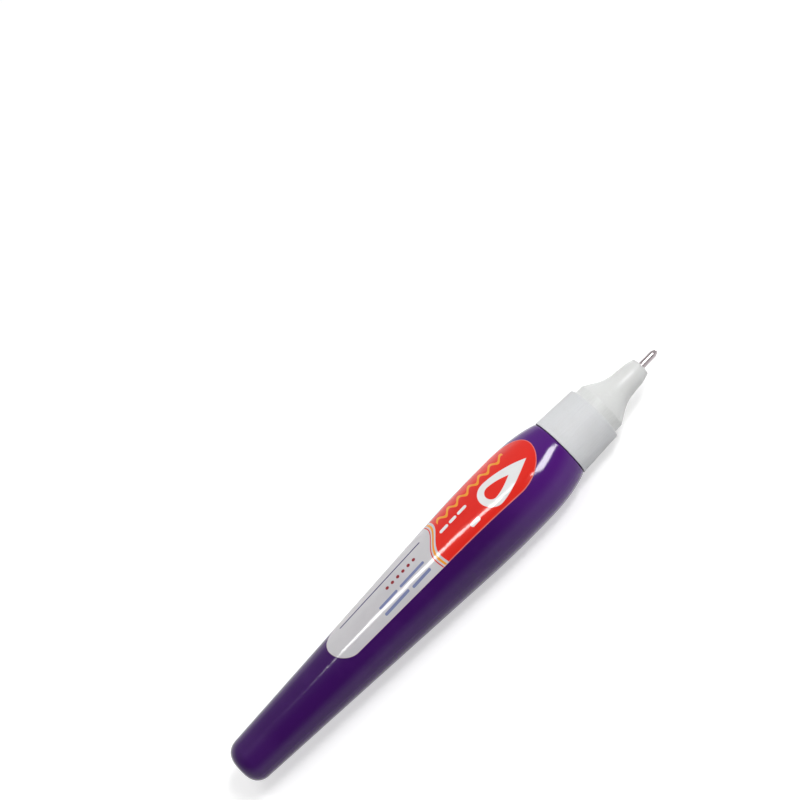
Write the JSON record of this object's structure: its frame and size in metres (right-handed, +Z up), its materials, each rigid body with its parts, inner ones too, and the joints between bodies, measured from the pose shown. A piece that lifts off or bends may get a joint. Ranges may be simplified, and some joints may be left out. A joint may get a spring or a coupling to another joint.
{
  "type": "correction pen",
  "caption": "Squeeze-bottle correction pen without a cap: oval tapered bottle with a printed label, ribbed screw collar, flared white nozzle and a sprung needle valve in a metal tip.",
  "frame": {"origin": "under the middle of the pen, on the level that the bottle's belly touches", "axes": "+X along the pen towards the tip, +Z up out of the label, +Y across the pen"},
  "size_m": [0.1362, 0.021, 0.0182],
  "materials": {
    "purple_bottle": "glossy moulded purple",
    "label_print": "glossy printed film",
    "white_collar": "satin white, finely ribbed",
    "white_nozzle": "smooth glossy white",
    "tip_steel": "drawn and polished",
    "needle_steel": "ground and polished",
    "spring_steel": "drawn wire",
    "ball_steel": "polished ball",
    "natural_plastic": "natural moulded plastic",
    "gasket_foam": "soft washer"
  },
  "bodies": {
    "bottle": {"bottle": "purple_bottle", "label": "label_print"},
    "nozzle_unit": {"nozzle": "white_nozzle", "neck_gasket": "gasket_foam", "tip_tube": "tip_steel", "valve_spring": "spring_steel", "spring_retainer": "natural_plastic"},
    "collar": {"collar": "white_collar"},
    "needle": {"valve_needle": "needle_steel", "needle_head": "natural_plastic"},
    "mixing_ball": {"mixing_ball": "ball_steel"}
  },
  "joints": [
    {"name": "nozzle_lift", "type": "slide", "parent": "bottle", "child": "nozzle_unit", "axis": [1, 0, 0], "range_m": [0, 0.0044]},
    {"name": "collar_turn", "type": "hinge", "parent": "nozzle_unit", "child": "collar", "pos_m": [0.04167, 0, 0.00905], "axis": [1, 0, 0], "range_deg": [0, 720]},
    {"name": "needle_press", "type": "slide", "parent": "nozzle_unit", "child": "needle", "axis": [-1, 0, 0], "range_m": [0, 0.0004], "stiffness_N_per_m": 700, "springref_m": -0.0005, "deforming": ["valve_spring"]},
    {"name": "ball_roll", "type": "slide", "parent": "bottle", "child": "mixing_ball", "axis": [-0.9989, 0, 0.0471], "range_m": [0, 0.0795]}
  ],
  "couplings": [
    {"joint": "collar_turn", "follows": "nozzle_lift", "rad_per_m": 2856}
  ]
}
